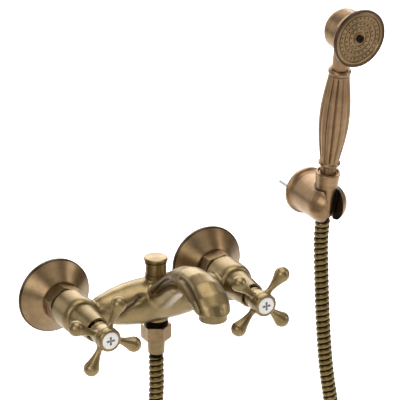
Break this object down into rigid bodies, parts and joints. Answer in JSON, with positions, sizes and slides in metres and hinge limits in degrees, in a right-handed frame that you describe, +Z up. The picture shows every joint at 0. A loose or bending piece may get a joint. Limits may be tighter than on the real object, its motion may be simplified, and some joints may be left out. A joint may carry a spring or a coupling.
{
  "type": "wall mounted bath faucet",
  "caption": "Wall mounted bath and shower mixer with cross handles, a curved spout, a pull-up diverter, and a hand shower on a metal hose resting in its wall bracket.",
  "frame": {"origin": "on the finished wall, midway between the two water inlets", "axes": "+X to the right along the wall, towards the hand shower; -Y out of the wall; +Z up"},
  "size_m": [0.3184, 0.193, 0.7206],
  "materials": {
    "antique_bronze": "brushed antique bronze",
    "brown_bronze": "brushed brown bronze",
    "copper_bronze": "satin copper bronze",
    "dark_bronze": "oil rubbed",
    "hose_bronze": "satin",
    "plain_brass": "machined",
    "steel": "plain",
    "black_rubber": "matt",
    "ceramic_disc": "lapped",
    "white_porcelain": "glazed",
    "white_plastic": "moulded",
    "black_plastic": "moulded"
  },
  "bodies": {
    "root": {"mixer_body": "antique_bronze", "eccentric_hot": "dark_bronze", "eccentric_cold": "dark_bronze", "wall_flange_hot": "brown_bronze", "wall_flange_cold": "brown_bronze", "union_nut_hot": "brown_bronze", "union_nut_cold": "brown_bronze", "retaining_rings": "steel", "inlet_washers": "black_rubber", "shroud_hot": "antique_bronze", "shroud_cold": "antique_bronze", "valve_housing_hot": "plain_brass", "valve_housing_cold": "plain_brass", "fixed_disc_hot": "ceramic_disc", "fixed_disc_cold": "ceramic_disc", "seat_seals": "black_rubber", "aerator_ring": "antique_bronze", "aerator_insert": "white_plastic", "aerator_washer": "black_rubber", "diverter_bonnet": "antique_bronze", "diverter_spring": "steel", "outlet_nipple": "dark_bronze", "outlet_washer": "black_rubber", "hose_nut": "brown_bronze", "hose_ferrule": "hose_bronze", "hose": "hose_bronze", "bracket_body": "antique_bronze", "bracket_plate": "steel", "bracket_screws": "steel", "bracket_liner": "black_plastic", "bracket_grub_screw": "steel"},
    "hot_handle": {"valve_spindle_hot": "plain_brass", "turning_disc_hot": "ceramic_disc", "handle_hot": "antique_bronze", "handle_screw_hot": "steel", "index_ring_hot": "antique_bronze", "index_disc_hot": "white_porcelain"},
    "cold_handle": {"valve_spindle_cold": "plain_brass", "turning_disc_cold": "ceramic_disc", "handle_cold": "antique_bronze", "handle_screw_cold": "steel", "index_ring_cold": "antique_bronze", "index_disc_cold": "white_porcelain"},
    "diverter": {"diverter_knob": "antique_bronze", "diverter_stem": "plain_brass", "diverter_seals": "black_rubber"},
    "hose_end": {"hose_tail": "hose_bronze"},
    "handset": {"cone_nut": "antique_bronze", "cone_washer": "black_rubber", "handset_grip": "copper_bronze", "handset_collar": "copper_bronze", "head_shell": "copper_bronze", "face_plate": "antique_bronze", "face_seal": "black_rubber", "face_screw": "dark_bronze"}
  },
  "joints": [
    {"name": "hot_valve", "type": "hinge", "parent": "root", "child": "hot_handle", "pos_m": [-0.075, -0.0985, 0], "axis": [0, -1, 0], "range_deg": [0, 90]},
    {"name": "cold_valve", "type": "hinge", "parent": "root", "child": "cold_handle", "pos_m": [0.075, -0.0985, 0], "axis": [0, -1, 0], "range_deg": [0, 90]},
    {"name": "diverter_lift", "type": "slide", "parent": "root", "child": "diverter", "axis": [0, 0, 1], "range_m": [0, 0.006], "stiffness_N_per_m": 150, "springref_m": -0.006, "deforming": ["diverter_spring"]},
    {"name": "handset_lift", "type": "slide", "parent": "root", "child": "hose_end", "axis": [0, -0.165, 0.9863], "range_m": [0, 0.048]},
    {"name": "handset_turn", "type": "hinge", "parent": "hose_end", "child": "handset", "pos_m": [0.177, -0.0395, 0.0894], "axis": [0, -0.165, 0.9863], "continuous": true}
  ]
}
